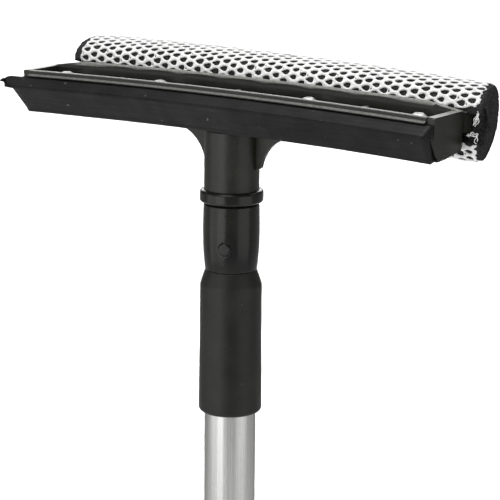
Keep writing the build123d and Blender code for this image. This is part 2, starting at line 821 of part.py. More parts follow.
# ---- guide plug at the foot of the inner tube, its rivet and its guide ring ----
plug_foot = upper_foot_z - guide_plug_h
with BuildPart() as guide_plug:
    with BuildSketch(Plane.XY.offset(upper_foot_z - 0.02)):
        Circle(upper_id / 2 - fit)
    extrude(amount=guide_plug_in)
    with BuildSketch(Plane.XY.offset(plug_foot)):
        Circle(guide_d / 2 - 0.25)
    extrude(amount=guide_plug_h - 0.02)
    with BuildSketch(Plane.XY.offset(plug_foot + 2.0)):
        Circle(guide_d / 2 + 1)
        Circle(guide_groove_d / 2, mode=Mode.SUBTRACT)
    extrude(amount=guide_ring_h + 0.2, mode=Mode.SUBTRACT)
    with BuildSketch(Plane.XY.offset(plug_foot)):
        Circle(guide_plug_hole_d / 2)
    extrude(amount=guide_plug_h + guide_plug_in + 1, mode=Mode.SUBTRACT)
    with BuildSketch(Plane(origin=(0, 0, upper_foot_z + plug_rivet_up), z_dir=(0, 1, 0)).offset(5.0)):
        Circle(small_rivet_r + fit)
    extrude(amount=8.0, mode=Mode.SUBTRACT)
save(guide_plug.part, "guide_plug")

with BuildPart() as plug_rivet:
    with BuildSketch(Plane(origin=(0, 0, upper_foot_z + plug_rivet_up), z_dir=(0, 1, 0)).offset(rivet_foot)):
        Circle(small_rivet_r)
    extrude(amount=4.7)
save(plug_rivet.part, "plug_rivet")

with BuildPart() as guide_ring:
    add(ring(plug_foot + 2.1, plug_foot + 2.1 + guide_ring_h, guide_d, guide_groove_d + 2 * run))
    with BuildSketch(Plane.XY.offset(plug_foot + 2.0)):
        with Locations((guide_d / 2, 0)):
            Rectangle(6.0, guide_split)
    extrude(amount=guide_ring_h + 1, mode=Mode.SUBTRACT)
save(guide_ring.part, "guide_ring")

# ---- outer tube ----
with BuildPart() as lower_tube:
    add(ring(end_cap_h + 0.02, lower_tube_top, lower_od, lower_id))
    for side in (0, 180):
        with BuildSketch(collet_rivet_plane(side).offset(10.0)):
            Circle(small_rivet_r + fit)
        extrude(amount=5.0, mode=Mode.SUBTRACT)
    with BuildSketch(Plane(origin=(0, 0, cap_rivet_z), z_dir=(0, 1, 0)).offset(10.0)):
        Circle(small_rivet_r + fit)
    extrude(amount=5.0, mode=Mode.SUBTRACT)
save(lower_tube.part, "lower_tube")

# ---- collet of the twist lock, split into four fingers ----
with BuildPart() as lock_collet:
    with BuildSketch(Plane.XZ):
        with BuildLine():
            Polyline(
                (lower_od / 2 + fit, collet_z0),
                (collet_flange_d / 2 - 0.6, collet_z0),
                (collet_flange_d / 2, collet_z0 + 0.6),
                (collet_flange_d / 2, collar_z0 - gap),
                (collet_d / 2, collar_z0 - gap),
                (collet_d / 2, cone_z0),
                (collet_top_d / 2, collet_z1),
                (upper_od / 2 + 0.3, collet_z1),
                (upper_od / 2 + run, collet_z1 - 0.6),
                (upper_od / 2 + run, lower_tube_top + 0.1),
                (lower_od / 2 + fit, lower_tube_top + 0.1),
                close=True,
            )
        make_face()
    revolve(axis=Axis.Z)
    with BuildSketch(Plane.XY.offset(lower_tube_top + 4.0)):
        Rectangle(40.0, collet_slot)
        Rectangle(collet_slot, 40.0)
    extrude(amount=40.0, mode=Mode.SUBTRACT)
    for side in (0, 180):
        with BuildSketch(collet_rivet_plane(side).offset(10.0)):
            Circle(small_rivet_r + fit)
        extrude(amount=8.0, mode=Mode.SUBTRACT)
save(lock_collet.part, "lock_collet")

with BuildPart() as collet_rivets:
    for side in (0, 180):
        with BuildSketch(collet_rivet_plane(side).offset(lower_id / 2 + 0.1)):
            Circle(small_rivet_r)
        extrude(amount=(collet_flange_d - lower_id) / 2 + 0.3)
save(collet_rivets.part, "collet_rivets")

# ---- lock collar: ribbed nut with an inner cone ----
with BuildPart() as lock_collar:
    with BuildSketch(Plane.XZ):
        with BuildLine():
            Polyline(
                (collet_d / 2 + gap, collar_z0),
                (collar_d / 2 - 1.0, collar_z0),
                (collar_d / 2, collar_z0 + 1.0),
                (collar_d / 2, collar_z1 - 12.0),
                (collar_d / 2 - 0.6, collar_z1 - 9.0),
                (collar_top_d / 2, collar_z1 - 1.4),
                (collar_top_d / 2 - 1.4, collar_z1),
                (upper_od / 2 + 0.4, collar_z1),
                (upper_od / 2 + 0.4, collet_z1 + gap),
                (collet_top_d / 2 + gap, collet_z1 + gap),
                (collet_d / 2 + gap, cone_z0),
                close=True,
            )
        make_face()
    revolve(axis=Axis.Z)
    with BuildSketch(Plane.XY.offset(collar_z0 + 3.0)):
        with PolarLocations(collar_d / 2 + collar_groove_out, collar_ribs):
            Circle(collar_groove_r)
    extrude(amount=collar_z1 - collar_z0 - 16.0, mode=Mode.SUBTRACT)
save(lock_collar.part, "lock_collar")

# ---- hand grip: soft sleeve with shallow finger rings ----
with BuildPart() as hand_grip:
    add(ring(grip_z0, grip_z1, grip_d, lower_od + 2 * fit))
    fillet(rims(hand_grip, grip_z0, grip_d / 2), radius=1.6)
    fillet(rims(hand_grip, grip_z1, grip_d / 2), radius=1.6)
    for n in range(grip_rings):
        z = grip_z0 + grip_end + n * (grip_z1 - grip_z0 - 2 * grip_end) / (grip_rings - 1)
        with BuildSketch(Plane.XZ):
            with Locations((grip_d / 2 + grip_ring_out, z)):
                Circle(grip_ring_r)
        revolve(axis=Axis.Z, mode=Mode.SUBTRACT)
save(hand_grip.part, "hand_grip")

# ---- end cap: button with two flats and a hanging hole, and a spigot in the tube ----
with BuildPart() as end_cap:
    with BuildSketch(Plane.XY):
        Circle(cap_d / 2)
    extrude(amount=end_cap_h)
    fillet(rims(end_cap, 0, cap_d / 2), radius=3.0)
    chamfer(rims(end_cap, end_cap_h, cap_d / 2), length=0.6)
    with BuildSketch(Plane.XY.offset(-1)):
        with Locations((0, cap_flat + 10.0), (0, -cap_flat - 10.0)):
            Rectangle(60.0, 20.0)
    extrude(amount=cap_flat_h + 1, mode=Mode.SUBTRACT)
    with BuildSketch(Plane.XY.offset(end_cap_h)):
        Circle(lower_id / 2 - fit)
    extrude(amount=cap_spigot_h)
    with BuildSketch(Plane(origin=(0, -20.0, hang_z), z_dir=(0, 1, 0))):
        Circle(hang_d / 2)
    extrude(amount=40.0, mode=Mode.SUBTRACT)
    with BuildSketch(Plane(origin=(0, 0, cap_rivet_z), z_dir=(0, 1, 0)).offset(6.0)):
        Circle(small_rivet_r + fit)
    extrude(amount=8.0, mode=Mode.SUBTRACT)
save(end_cap.part, "end_cap")

with BuildPart() as cap_rivet:
    with BuildSketch(Plane(origin=(0, 0, cap_rivet_z), z_dir=(0, 1, 0)).offset(rivet_foot)):
        Circle(small_rivet_r)
    extrude(amount=lower_od / 2 - rivet_foot - 0.15)
save(cap_rivet.part, "cap_rivet")
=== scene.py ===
import json
import math

import bpy
import numpy as np
from mathutils import Matrix, Vector, noise


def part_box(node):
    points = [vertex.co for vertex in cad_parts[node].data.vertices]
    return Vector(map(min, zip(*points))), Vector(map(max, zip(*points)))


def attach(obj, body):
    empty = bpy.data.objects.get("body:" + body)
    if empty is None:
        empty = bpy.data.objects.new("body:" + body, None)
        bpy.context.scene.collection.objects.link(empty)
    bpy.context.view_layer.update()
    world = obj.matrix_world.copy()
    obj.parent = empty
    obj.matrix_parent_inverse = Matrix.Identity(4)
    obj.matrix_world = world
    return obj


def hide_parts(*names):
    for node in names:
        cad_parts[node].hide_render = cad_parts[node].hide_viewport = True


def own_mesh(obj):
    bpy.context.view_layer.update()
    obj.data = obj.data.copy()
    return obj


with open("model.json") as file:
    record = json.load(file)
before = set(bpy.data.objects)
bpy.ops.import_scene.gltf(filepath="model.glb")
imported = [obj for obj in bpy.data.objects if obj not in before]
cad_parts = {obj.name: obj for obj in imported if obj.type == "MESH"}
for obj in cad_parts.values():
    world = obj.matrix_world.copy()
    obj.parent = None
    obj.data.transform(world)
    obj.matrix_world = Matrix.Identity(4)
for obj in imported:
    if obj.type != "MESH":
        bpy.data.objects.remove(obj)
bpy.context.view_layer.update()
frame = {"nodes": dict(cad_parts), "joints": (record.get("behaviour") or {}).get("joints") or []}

MM = 0.001
NODES = frame["nodes"]

# ---- sizes of the head, in metres, as in the CAD model ----
HEAD_LEN = 205.0 * MM
CROWN = 1.7 * MM
CROWN_R = HEAD_LEN**2 / (8 * CROWN)
HEAD_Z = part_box("neck_collar")[1].z + 27.8 * MM
CROWN_Z = HEAD_Z - CROWN_R
HALF = HEAD_LEN / 2
LOW, HIGH = -3.0 * MM, 26.3 * MM
SPONGE_TILT = math.radians(0.9)
TILT_CENTRE = Vector((0, 0, HEAD_Z + (LOW + HIGH) / 2))


def bend(x, y, h):
    """A point of the head: x along it, y its depth, h its height above the underside, on the crown."""
    a = math.asin(x / CROWN_R)
    return Vector(((CROWN_R + h) * math.sin(a), y, CROWN_Z + (CROWN_R + h) * math.cos(a)))


def sponge_bend(x, y, h):
    """The same, for the sponge, whose left end sits a little higher than its right end."""
    p = bend(x, y, h) - TILT_CENTRE
    turn = Matrix.Rotation(SPONGE_TILT, 3, "Y")
    return turn @ p + TILT_CENTRE


# =====================================================================================
# Mesh helpers
# =====================================================================================
def add_piece(name, mesh, body, material, replaces=()):
    """Makes a piece that rides on the body and stands for the replaced CAD nodes."""
    piece = bpy.data.objects.new(name, mesh)
    bpy.context.scene.collection.objects.link(piece)
    mesh.materials.append(material)
    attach(piece, body)
    if replaces:
        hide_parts(*replaces)
    return piece


def mesh_from(name, points, faces, smooth=True):
    mesh = bpy.data.meshes.new(name)
    mesh.from_pydata([tuple(p) for p in points], [], faces)
    mesh.validate()
    if smooth:
        mesh.polygons.foreach_set("use_smooth", [True] * len(mesh.polygons))
    mesh.update()
    return mesh


def rounded(points, radii, steps=5):
    """Closed outline with each corner rounded by its radius."""
    out = []
    n = len(points)
    for i, corner in enumerate(points):
        p, c, q = Vector(points[i - 1]), Vector(corner), Vector(points[(i + 1) % n])
        r = radii[i] if isinstance(radii, (list, tuple)) else radii
        a, b = (p - c), (q - c)
        la, lb = a.length, b.length
        a.normalize()
        b.normalize()
        turn = math.pi - a.angle(b)
        if r <= 0 or turn < 0.02:
            out.append(c)
            continue
        cut = min(r * math.tan(turn / 2), 0.46 * la, 0.46 * lb)
        start, end = c + a * cut, c + b * cut
        for k in range(steps + 1):
            t = k / steps
            out.append(start.lerp(c, t).lerp(c.lerp(end, t), t))
    return out


def sweep(outline, stations, name, shift):
    """Sweeps a closed (y, h) outline through the stations, moved by shift, with end caps."""
    points, faces = [], []
    n = len(outline)
    for x in stations:
        for y, h in outline:
            dx, dy, dh = shift(x, y, h)
            points.append(bend(x + dx, y + dy, h + dh))
    for k in range(len(stations) - 1):
        for i in range(n):
            j = (i + 1) % n
            faces.append((k * n + i, k * n + j, (k + 1) * n + j, (k + 1) * n + i))
    last = (len(stations) - 1) * n
    faces.append(tuple(range(n - 1, -1, -1)))
    faces.append(tuple(last + i for i in range(n)))
    return mesh_from(name, points, faces)


def spread(a, b, n):
    return [a + (b - a) * k / (n - 1) for k in range(n)]


# =====================================================================================
# Materials
# =====================================================================================
class Shader:
    """A node material: each call adds a node, and link() wires two of them."""

    def __init__(self, name):
        self.material = bpy.data.materials.new(name)
        self.material.use_nodes = True
        self.tree = self.material.node_tree
        self.tree.nodes.clear()
        self.surface = self.add("ShaderNodeBsdfPrincipled")
        out = self.add("ShaderNodeOutputMaterial")
        self.link(self.surface.outputs[0], out.inputs["Surface"])
        self.where = self.add("ShaderNodeTexCoord").outputs["Object"]

    def add(self, kind, **values):
        node = self.tree.nodes.new(kind)
        for key, value in values.items():
            setattr(node, key, value)
        return node

    def link(self, a, b):
        self.tree.links.new(a, b)

    def set(self, **values):
        for key, value in values.items():
            self.surface.inputs[key.replace("_", " ")].default_value = value

    def scaled(self, scale):
        node = self.add("ShaderNodeMapping")
        node.inputs["Scale"].default_value = scale
        self.link(self.where, node.inputs["Vector"])
        return node.outputs[0]

    def noise(self, scale, detail=3.0, rough=0.55, where=None):
        node = self.add("ShaderNodeTexNoise")
        node.inputs["Scale"].default_value = scale
        node.inputs["Detail"].default_value = detail
        node.inputs["Roughness"].default_value = rough
        self.link(where or self.where, node.inputs["Vector"])
        return node.outputs["Fac"]

    def voronoi(self, scale, feature="F1", where=None):
        node = self.add("ShaderNodeTexVoronoi", feature=feature)
        node.inputs["Scale"].default_value = scale
        self.link(where or self.where, node.inputs["Vector"])
        return node.outputs["Distance"]

    def ramp(self, value, low, high, a, b):
        """Maps value from low..high to a..b, held at both ends."""
        node = self.add("ShaderNodeMapRange")
        node.inputs["From Min"].default_value = low
        node.inputs["From Max"].default_value = high
        node.inputs["To Min"].default_value = a
        node.inputs["To Max"].default_value = b
        self.link(value, node.inputs["Value"])
        return node.outputs[0]

    def blend(self, factor, a, b):
        node = self.add("ShaderNodeMix", data_type="RGBA")
        for socket, colour in ((node.inputs[6], a), (node.inputs[7], b)):
            if isinstance(colour, tuple):
                socket.default_value = (*colour, 1.0)
            else:
                self.link(colour, socket)
        self.link(factor, node.inputs[0])
        return node.outputs[2]

    def math(self, kind, a, b):
        node = self.add("ShaderNodeMath", operation=kind)
        for socket, value in ((node.inputs[0], a), (node.inputs[1], b)):
            if isinstance(value, (int, float)):
                socket.default_value = value
            else:
                self.link(value, socket)
        return node.outputs[0]

    def bump(self, height, distance, strength=1.0, below=None):
        node = self.add("ShaderNodeBump")
        node.inputs["Distance"].default_value = distance
        node.inputs["Strength"].default_value = strength
        self.link(height, node.inputs["Height"])
        if below is not None:
            self.link(below, node.inputs["Normal"])
        return node.outputs[0]

    def colour(self, socket):
        self.link(socket, self.surface.inputs["Base Color"])

    def roughness(self, socket):
        self.link(socket, self.surface.inputs["Roughness"])

    def normal(self, socket):
        self.link(socket, self.surface.inputs["Normal"])


# pale olive of the dust and of the painted top light on up-facing faces
DUST_AND_TOP_LIGHT_COLOUR = (0.40, 0.40, 0.375)


def moulded_plastic(name, base, rough, grain=1.0, dust=0.5, gloss=0.5, dust_and_top_light=0.0):
    """Satin black plastic: fine moulding grain, faint flow marks, handling scuffs and dust, and on up-facing
    faces dust with painted top light.
    """
    s = Shader(name)
    cloud = s.noise(38.0, 4.0)
    fine = s.noise(1500.0, 3.0)
    flow = s.noise(1.0, 3.0, where=s.scaled((60.0, 500.0, 500.0)))
    scuff = s.ramp(s.noise(1.0, 5.0, 0.7, where=s.scaled((260.0, 900.0, 420.0))), 0.56, 0.68, 0.0, 1.0)
    specks = s.ramp(s.noise(620.0, 2.0), 0.735, 0.79, 0.0, dust)
    worn = tuple(c * 2.0 + 0.005 for c in base)
    olive = (base[0] + 0.012, base[1] + 0.012, base[2] + 0.007)
    pale = tuple(c + 0.09 for c in base)
    tone = s.blend(s.ramp(cloud, 0.4, 0.66, 0.0, 0.8), base, olive)
    tone = s.blend(s.math("MULTIPLY", scuff, 0.35), tone, worn)
    if dust_and_top_light:
        # dust and painted top light lie on the faces that look up: the up-facing faces get a painted
        # highlight
        face = s.add("ShaderNodeSeparateXYZ")
        s.link(s.add("ShaderNodeNewGeometry").outputs["Normal"], face.inputs[0])
        upward_dust_and_top_light = s.ramp(face.outputs[2], 0.5, 0.97, 0.0, dust_and_top_light)
        blotch = s.noise(1.0, 5.0, 0.75, where=s.scaled((700.0, 1300.0, 1300.0)))
        patchy = s.ramp(blotch, 0.32, 0.62, 0.35, 1.0)
        tone = s.blend(s.math("MULTIPLY", upward_dust_and_top_light, patchy), tone, DUST_AND_TOP_LIGHT_COLOUR)
    s.colour(s.blend(specks, tone, pale))
    soft = s.math("ADD", s.ramp(cloud, 0.3, 0.7, rough - 0.05, rough + 0.07), s.math("MULTIPLY", scuff, 0.08))
    s.roughness(s.math("ADD", soft, s.ramp(fine, 0.35, 0.65, -0.06, 0.06)))
    coarse = s.bump(flow, 0.00010 * grain, 0.35)
    s.normal(s.bump(fine, 0.00010 * grain, 0.55, coarse))
    s.set(Specular_IOR_Level=gloss)
    return s.material


def rubber(name, base, rough):
    """Black rubber: pale bloom, drag lines along the strip, specks of dried water."""
    s = Shader(name)
    bloom = s.noise(60.0, 5.0, 0.65)
    drag = s.noise(1.0, 4.0, where=s.scaled((28.0, 1100.0, 1100.0)))
    scratch = s.ramp(s.noise(1.0, 2.0, where=s.scaled((90.0, 2600.0, 2600.0))), 0.64, 0.74, 0.0, 0.6)
    specks = s.ramp(s.noise(430.0, 1.0), 0.755, 0.80, 0.0, 0.9)
    pale = tuple(c * 1.9 + 0.008 for c in base)
    line = tuple(c + 0.030 for c in base)
    spot = tuple(c + 0.12 for c in base)
    tone = s.blend(s.ramp(bloom, 0.38, 0.72, 0.0, 0.9), base, pale)
    tone = s.blend(scratch, tone, line)
    s.colour(s.blend(specks, tone, spot))
    worn = s.ramp(drag, 0.3, 0.7, rough - 0.07, rough + 0.1)
    s.roughness(s.math("ADD", worn, s.ramp(bloom, 0.3, 0.7, 0.04, -0.04)))
    lines = s.bump(drag, 0.00014, 0.4)
    s.normal(s.bump(s.noise(1500.0, 3.0), 0.00008, 0.5, lines))
    s.set(Specular_IOR_Level=0.22)
    return s.material


def drawn_aluminium(name):
    """Satin drawn tube: fine streaks along its length and faint handling marks."""
    s = Shader(name)
    streak = s.noise(1.0, 4.0, 0.6, where=s.scaled((1700.0, 1700.0, 7.0)))
    cloud = s.noise(26.0, 4.0)
    marks = s.ramp(s.noise(1.0, 4.0, 0.65, where=s.scaled((220.0, 220.0, 90.0))), 0.6, 0.72, 0.0, 1.0)
    tone = s.blend(s.ramp(streak, 0.3, 0.7, 0.0, 1.0), (0.575, 0.575, 0.562), (0.70, 0.70, 0.685))
    s.colour(s.blend(s.math("MULTIPLY", marks, 0.25), tone, (0.50, 0.50, 0.49)))
    rough = s.math("ADD", s.ramp(streak, 0.25, 0.75, 0.21, 0.33), s.ramp(cloud, 0.3, 0.7, -0.02, 0.03))
    s.roughness(s.math("ADD", rough, s.math("MULTIPLY", marks, 0.06)))
    s.normal(s.bump(streak, 0.00002, 0.4))
    s.set(Metallic=1.0)
    s.surface.inputs["Specular Tint"].default_value = (0.55, 0.55, 0.55, 1.0)
    return s.material


def bright_steel(name, rough):
    """Plated steel with faint turning marks."""
    s = Shader(name)
    ring = s.noise(1.0, 3.0, where=s.scaled((900.0, 900.0, 2500.0)))
    s.colour(s.blend(s.ramp(ring, 0.3, 0.7, 0.0, 1.0), (0.70, 0.70, 0.70), (0.84, 0.84, 0.83)))
    s.roughness(s.ramp(s.noise(500.0, 3.0), 0.3, 0.7, rough, rough + 0.16))
    s.normal(s.bump(ring, 0.00002, 0.3))
    s.set(Metallic=1.0)
    return s.material


def foam_material(name):
    """Open cells, with painted shade in their depths."""
    s = Shader(name)
    cells = s.voronoi(1500.0)
    cloud = s.noise(180.0, 4.0)
    # painted shade: the colour darkens towards each cell's middle, its depth
    s.colour(s.blend(s.ramp(cells, 0.1, 0.6, 0.0, 1.0), (0.006, 0.006, 0.0065), (0.045, 0.045, 0.046)))
    s.roughness(s.ramp(cloud, 0.3, 0.7, 0.85, 1.0))
    s.normal(s.bump(cells, 0.0005, 0.9))
    s.set(Specular_IOR_Level=0.2)
    return s.material


def net_material(name):
    """White nylon yarn with a faint sheen."""
    s = Shader(name)
    yarn = s.noise(1.0, 3.0, 0.6, where=s.scaled((2600.0, 2600.0, 2600.0)))
    cloud = s.noise(90.0, 3.0)
    s.colour(s.blend(s.ramp(cloud, 0.35, 0.7, 0.0, 1.0), (0.97, 0.97, 0.965), (0.90, 0.90, 0.885)))
    s.roughness(s.ramp(yarn, 0.3, 0.7, 0.42, 0.62))
    s.normal(s.bump(yarn, 0.00018, 0.6))
    s.set(Sheen_Weight=0.15, Sheen_Roughness=0.4)
    return s.material


def natural_nylon(name):
    """Off-white turned nylon."""
    s = Shader(name)
    s.colour(s.blend(s.noise(120.0), (0.72, 0.70, 0.64), (0.80, 0.78, 0.72)))
    s.roughness(s.ramp(s.noise(900.0), 0.3, 0.7, 0.35, 0.5))
    s.normal(s.bump(s.noise(1500.0), 0.00004, 0.4))
    return s.material


# PLASTIC, SLEEVE and STRIP also paint dust and a top-light highlight on faces that look up
PLASTIC = moulded_plastic("moulded_black", (0.0085, 0.0085, 0.0070), 0.34, gloss=0.40, dust_and_top_light=0.85)
PLASTIC_SMOOTH = moulded_plastic(
    "moulded_black_smooth", (0.002, 0.002, 0.0019), 0.18, grain=0.5, dust=0.3, gloss=0.36
)
SLEEVE = moulded_plastic("sleeve_black", (0.005, 0.005, 0.0044), 0.42, dust=0.4, gloss=0.36, dust_and_top_light=0.25)
STRIP = moulded_plastic("strip_black", (0.010, 0.010, 0.0085), 0.38, gloss=0.36, dust_and_top_light=0.6)
RUBBER = rubber("squeegee_rubber", (0.003, 0.003, 0.0031), 0.44)
GRIP = rubber("grip_rubber", (0.010, 0.010, 0.0105), 0.6)
ALUMINIUM = drawn_aluminium("drawn_aluminium")
STEEL = bright_steel("bright_steel", 0.14)
SCREW_STEEL = bright_steel("zinc_plated_steel", 0.34)
BLACK_STEEL = moulded_plastic("black_oxide_steel", (0.012, 0.012, 0.0125), 0.34, grain=0.4, dust=0.2)
FOAM = foam_material("black_foam")
NET = net_material("white_net")
NYLON = natural_nylon("natural_nylon")

NODE_MATERIALS = {
    "head_frame": PLASTIC, "clamp_strip": STRIP, "sponge_backer": PLASTIC,
    "neck_collar": PLASTIC_SMOOTH, "neck_washer": RUBBER, "adaptor": PLASTIC_SMOOTH,
    "tip_plug": PLASTIC, "ferrule": SLEEVE, "guide_plug": PLASTIC, "snap_button": PLASTIC_SMOOTH,
    "lock_collet": PLASTIC_SMOOTH, "lock_collar": PLASTIC, "end_cap": PLASTIC, "hand_grip": GRIP,
    "upper_tube": ALUMINIUM, "lower_tube": ALUMINIUM, "guide_ring": NYLON,
    "clamp_screws": STEEL, "clamp_nuts": STEEL, "backer_screws": BLACK_STEEL, "button_spring": STEEL,
    "ferrule_rivet": STEEL, "plug_rivet": STEEL, "collet_rivets": STEEL, "cap_rivet": STEEL,
    "blade_rubber": RUBBER, "sponge_core": FOAM, "net_cover": NET,
}
BEVELS = {
    "head_frame": 0.45, "clamp_strip": 0.3, "sponge_backer": 0.4, "neck_collar": 0.2, "adaptor": 0.2,
    "ferrule": 0.3, "lock_collet": 0.3, "lock_collar": 0.4, "end_cap": 0.5, "snap_button": 0.1,
    "upper_tube": 0.15, "lower_tube": 0.15,
}


def dress_cad_nodes():
    """Gives every carried-over CAD node its material, and rounds the edges that show."""
    for name, node in NODES.items():
        node.data.materials.clear()
        node.data.materials.append(NODE_MATERIALS[name])
        weld = node.modifiers.new("weld", "WELD")
        weld.merge_threshold = 0.000002
        if name in BEVELS:
            bevel = node.modifiers.new("edges", "BEVEL")
            bevel.width = BEVELS[name] * MM
            bevel.segments = 2
            bevel.limit_method = "ANGLE"
            bevel.angle_limit = math.radians(32)
            bevel.use_clamp_overlap = True
            bevel.harden_normals = True
        node.data.polygons.foreach_set("use_smooth", [True] * len(node.data.polygons))
        even = node.modifiers.new("normals", "WEIGHTED_NORMAL")
        even.keep_sharp = True


# =====================================================================================
# Camera, light and floor
# =====================================================================================
VIEW_AZIMUTH = math.radians(34.77)
VIEW_ELEVATION = math.radians(13.36)
VIEW_ROLL = math.radians(0.56)
VIEW_DISTANCE = 0.837
VIEW_LENS = 144.0
AIM_RIGHT = 7.9 * MM
AIM_UP = -22.1 * MM
AIM_Z = HEAD_Z - 31.5 * MM
WORLD_FRONT, WORLD_BACK = 0.33, 0.16
FLOOR_HALF = 30.0
WASH_HEIGHT, WASH_RADIANCE, WASH_SPREAD = 1.4, 1.5, 25.0
WASHES = ((1.9, 0.9, 1.5), (3.5, 1.5, 1.8), (5.9, 2.4, 3.2))     # distance behind, width, length


def make_camera():
    """A long lens at the photographed angle; returns the direction from the object to it."""
    toward = Vector((
        math.sin(VIEW_AZIMUTH) * math.cos(VIEW_ELEVATION),
        -math.cos(VIEW_AZIMUTH) * math.cos(VIEW_ELEVATION),
        math.sin(VIEW_ELEVATION),
    ))
    right = Vector((0, 0, 1)).cross(toward).normalized()
    up = toward.cross(right)
    aim = Vector((0, 0, AIM_Z)) + right * AIM_RIGHT + up * AIM_UP
    turned_right = right * math.cos(VIEW_ROLL) + up * math.sin(VIEW_ROLL)
    turned_up = toward.cross(turned_right)
    axes = Matrix((turned_right, turned_up, toward)).transposed().to_4x4()
    data = bpy.data.cameras.new("camera")
    data.lens = VIEW_LENS
    data.sensor_width = 36.0
    data.clip_start = 0.01
    data.clip_end = 100.0
    camera = bpy.data.objects.new("camera", data)
    camera.matrix_world = Matrix.Translation(aim + toward * VIEW_DISTANCE) @ axes
    bpy.context.scene.collection.objects.link(camera)
    bpy.context.scene.camera = camera
    return toward


def area_light(name, place, target, size, radiance, spread=180.0):
    """A rectangle light; its power follows from the radiance of its face."""
    data = bpy.data.lights.new(name, "AREA")
    data.shape = "RECTANGLE"
    data.size, data.size_y = size
    data.energy = radiance * math.pi * size[0] * size[1]
    data.spread = math.radians(spread)
    lamp = bpy.data.objects.new(name, data)
    lamp.location = place
    lamp.rotation_euler = (Vector(target) - Vector(place)).to_track_quat("-Z", "Y").to_euler()
    bpy.context.scene.collection.objects.link(lamp)


def around(middle, toward, degrees, rise, distance):
    """A place round the object: degrees to the right of the camera, rise above the horizon."""
    turn = Matrix.Rotation(math.radians(degrees), 3, "Z")
    flat = (turn @ Vector((toward.x, toward.y, 0))).normalized()
    lift = math.radians(rise)
    return middle + (flat * math.cos(lift) + Vector((0, 0, math.sin(lift)))) * distance


def make_stage(toward):
    """White studio: a world brighter behind the camera, soft panels round the head, a pale floor."""
    world = bpy.data.worlds.new("studio")
    world.use_nodes = True
    nodes, links = world.node_tree.nodes, world.node_tree.links
    where = nodes.new("ShaderNodeTexCoord")
    side = nodes.new("ShaderNodeVectorMath")
    side.operation = "DOT_PRODUCT"
    side.inputs[1].default_value = Vector((toward.x, toward.y, 0.35)).normalized()
    links.new(where.outputs["Generated"], side.inputs[0])
    level = nodes.new("ShaderNodeMapRange")
    level.inputs["From Min"].default_value = -0.8
    level.inputs["From Max"].default_value = 0.5
    level.inputs["To Min"].default_value = WORLD_BACK
    level.inputs["To Max"].default_value = WORLD_FRONT
    links.new(side.outputs["Value"], level.inputs["Value"])
    links.new(level.outputs[0], nodes["Background"].inputs[1])
    nodes["Background"].inputs[0].default_value = (1.0, 1.0, 1.0, 1.0)
    bpy.context.scene.world = world
    bpy.context.scene.view_settings.view_transform = "Standard"

    corners = [(a * FLOOR_HALF, b * FLOOR_HALF, 0) for a, b in ((-1, -1), (1, -1), (1, 1), (-1, 1))]
    floor = bpy.data.objects.new("floor", mesh_from("floor", corners, [(0, 1, 2, 3)], False))
    s = Shader("pale_floor")
    s.colour(s.blend(s.noise(3.0), (0.93, 0.93, 0.93), (0.95, 0.95, 0.95)))
    s.set(Roughness=0.9)
    floor.data.materials.append(s.material)
    bpy.context.scene.collection.objects.link(floor)

    middle = Vector((0, 0, HEAD_Z - 0.05))
    flat = Vector((toward.x, toward.y, 0)).normalized()
    area_light("key", around(middle, toward, -42, 0, 1.3), middle, (0.8, 1.05), 1.7)
    area_light("side", around(middle, toward, -78, 0, 1.3), middle, (0.85, 1.05), 0.9)
    area_light("fill", around(middle, toward, 52, 0, 1.3), middle, (1.2, 1.05), 0.75)
    area_light("top", middle + Vector((0, 0, 1.4)), middle + flat * 0.02, (1.3, 1.2), 3.0)
    area_light("back", middle - flat * 2.5 + Vector((0, 0, 0.9)), middle, (2.2, 1.0), 0.6, 70.0)
    area_light("high", around(middle, toward, -30, 46, 1.2), middle, (0.9, 0.7), 0.9)
    # narrow lights that whiten the floor behind the object without lighting the object
    for place, width, length in WASHES:
        spot = -flat * place
        lamp = spot + Vector((0, 0, WASH_HEIGHT))
        area_light("wash", lamp, spot - flat * 0.02, (width, length), WASH_RADIANCE, WASH_SPREAD)


